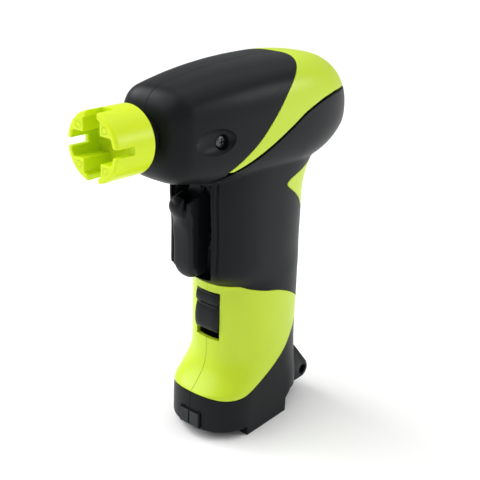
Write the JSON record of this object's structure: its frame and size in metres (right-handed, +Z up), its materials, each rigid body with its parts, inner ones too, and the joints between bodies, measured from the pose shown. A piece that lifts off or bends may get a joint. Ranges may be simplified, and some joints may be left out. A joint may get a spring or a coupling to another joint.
{
  "type": "string winder",
  "caption": "Pistol-shaped battery string winder with a slotted winder head, trigger, reversing slider and a hinged battery door.",
  "frame": {"origin": "centre of the bounding box's bottom face, on the plane the block under the grip stands on", "axes": "+Z up, -Y towards the winder head at the front, +X to the tool's left side"},
  "size_m": [0.0504, 0.1533, 0.1783],
  "materials": {
    "lime_plastic": "satin",
    "charcoal_plastic": "fine satin",
    "acetal": "satin",
    "steel": "machined",
    "sintered_bronze": "sintered",
    "nickel_strip": "nickel plated",
    "cell_jacket": "printed film, plain"
  },
  "bodies": {
    "housing": {"rear_cap_shell_left": "lime_plastic", "rear_cap_shell_right": "lime_plastic", "lower_grip_shell_left": "lime_plastic", "lower_grip_shell_right": "lime_plastic", "neck_inlay_left": "lime_plastic", "neck_inlay_right": "lime_plastic", "nose_shell_left": "charcoal_plastic", "nose_shell_right": "charcoal_plastic", "grip_shell_left": "charcoal_plastic", "grip_shell_right": "charcoal_plastic", "base_shell_left": "charcoal_plastic", "base_shell_right": "charcoal_plastic", "spindle_bush": "charcoal_plastic", "motor_end_cap": "charcoal_plastic", "trigger_switch": "charcoal_plastic", "reversing_switch": "charcoal_plastic", "bay_roof": "charcoal_plastic", "gearbox_case": "acetal", "gearbox_plate": "steel", "motor_magnet_ring": "steel", "trigger_pin": "steel", "door_pin": "steel", "gearbox_screw": "steel", "housing_screw_1": "steel", "housing_screw_2": "steel", "housing_screw_3": "steel", "housing_screw_4": "steel", "motor_can": "nickel_strip", "trigger_spring": "nickel_strip", "roof_contact_left": "nickel_strip", "roof_contact_right": "nickel_strip", "cell_spring_2": "nickel_strip", "cell_spring_4": "nickel_strip", "battery_1": "cell_jacket", "battery_2": "cell_jacket", "battery_3": "cell_jacket", "battery_4": "cell_jacket"},
    "winder": {"winder_head": "lime_plastic", "output_spindle": "steel", "spindle_screw": "steel"},
    "carrier": {"intermediate_carrier": "acetal"},
    "rotor": {"motor_rotor": "steel", "motor_pinion": "sintered_bronze"},
    "trigger_lever": {"trigger": "charcoal_plastic"},
    "slider": {"reversing_slider": "charcoal_plastic"},
    "door": {"battery_door": "charcoal_plastic", "door_contact_left": "nickel_strip", "door_contact_right": "nickel_strip", "cell_spring_1": "nickel_strip", "cell_spring_3": "nickel_strip"},
    "output_planet_gear_1": {"output_planet_1": "acetal"},
    "output_planet_gear_2": {"output_planet_2": "acetal"},
    "output_planet_gear_3": {"output_planet_3": "acetal"},
    "input_planet_gear_1": {"input_planet_1": "acetal"},
    "input_planet_gear_2": {"input_planet_2": "acetal"},
    "input_planet_gear_3": {"input_planet_3": "acetal"}
  },
  "joints": [
    {"name": "winder_spin", "type": "hinge", "parent": "housing", "child": "winder", "pos_m": [0, -0.06535, 0.153], "axis": [0, 1, 0], "continuous": true},
    {"name": "output_planet_1_spin", "type": "hinge", "parent": "winder", "child": "output_planet_gear_1", "pos_m": [0, -0.03275, 0.1605], "axis": [0, 1, 0], "continuous": true},
    {"name": "output_planet_2_spin", "type": "hinge", "parent": "winder", "child": "output_planet_gear_2", "pos_m": [-0.00649, -0.03275, 0.14925], "axis": [0, 1, 0], "continuous": true},
    {"name": "output_planet_3_spin", "type": "hinge", "parent": "winder", "child": "output_planet_gear_3", "pos_m": [0.00649, -0.03275, 0.14925], "axis": [0, 1, 0], "continuous": true},
    {"name": "carrier_spin", "type": "hinge", "parent": "housing", "child": "carrier", "pos_m": [0, -0.02635, 0.153], "axis": [0, 1, 0], "continuous": true},
    {"name": "input_planet_1_spin", "type": "hinge", "parent": "carrier", "child": "input_planet_gear_1", "pos_m": [0, -0.02455, 0.1605], "axis": [0, 1, 0], "continuous": true},
    {"name": "input_planet_2_spin", "type": "hinge", "parent": "carrier", "child": "input_planet_gear_2", "pos_m": [-0.00649, -0.02455, 0.14925], "axis": [0, 1, 0], "continuous": true},
    {"name": "input_planet_3_spin", "type": "hinge", "parent": "carrier", "child": "input_planet_gear_3", "pos_m": [0.00649, -0.02455, 0.14925], "axis": [0, 1, 0], "continuous": true},
    {"name": "rotor_spin", "type": "hinge", "parent": "housing", "child": "rotor", "pos_m": [0, -0.00335, 0.153], "axis": [0, 1, 0], "continuous": true},
    {"name": "trigger_pull", "type": "hinge", "parent": "housing", "child": "trigger_lever", "pos_m": [0, -0.01435, 0.1264], "axis": [1, 0, 0], "range_deg": [0, 8], "stiffness_Nm_per_rad": 0.35, "springref_deg": -6.88, "deforming": ["trigger_spring"]},
    {"name": "reverse_slide", "type": "slide", "parent": "housing", "child": "slider", "axis": [0, 0, -1], "range_m": [0, 0.0038]},
    {"name": "door_swing", "type": "hinge", "parent": "housing", "child": "door", "pos_m": [0, 0.04945, 0.0128], "axis": [1, 0, 0], "range_deg": [0, 80]}
  ],
  "couplings": [
    {"joint": "carrier_spin", "follows": "rotor_spin", "ratio": 0.2},
    {"joint": "winder_spin", "follows": "rotor_spin", "ratio": 0.04},
    {"joint": "output_planet_1_spin", "follows": "rotor_spin", "ratio": -0.10667},
    {"joint": "input_planet_1_spin", "follows": "rotor_spin", "ratio": -0.53333},
    {"joint": "output_planet_2_spin", "follows": "rotor_spin", "ratio": -0.10667},
    {"joint": "input_planet_2_spin", "follows": "rotor_spin", "ratio": -0.53333},
    {"joint": "output_planet_3_spin", "follows": "rotor_spin", "ratio": -0.10667},
    {"joint": "input_planet_3_spin", "follows": "rotor_spin", "ratio": -0.53333}
  ]
}
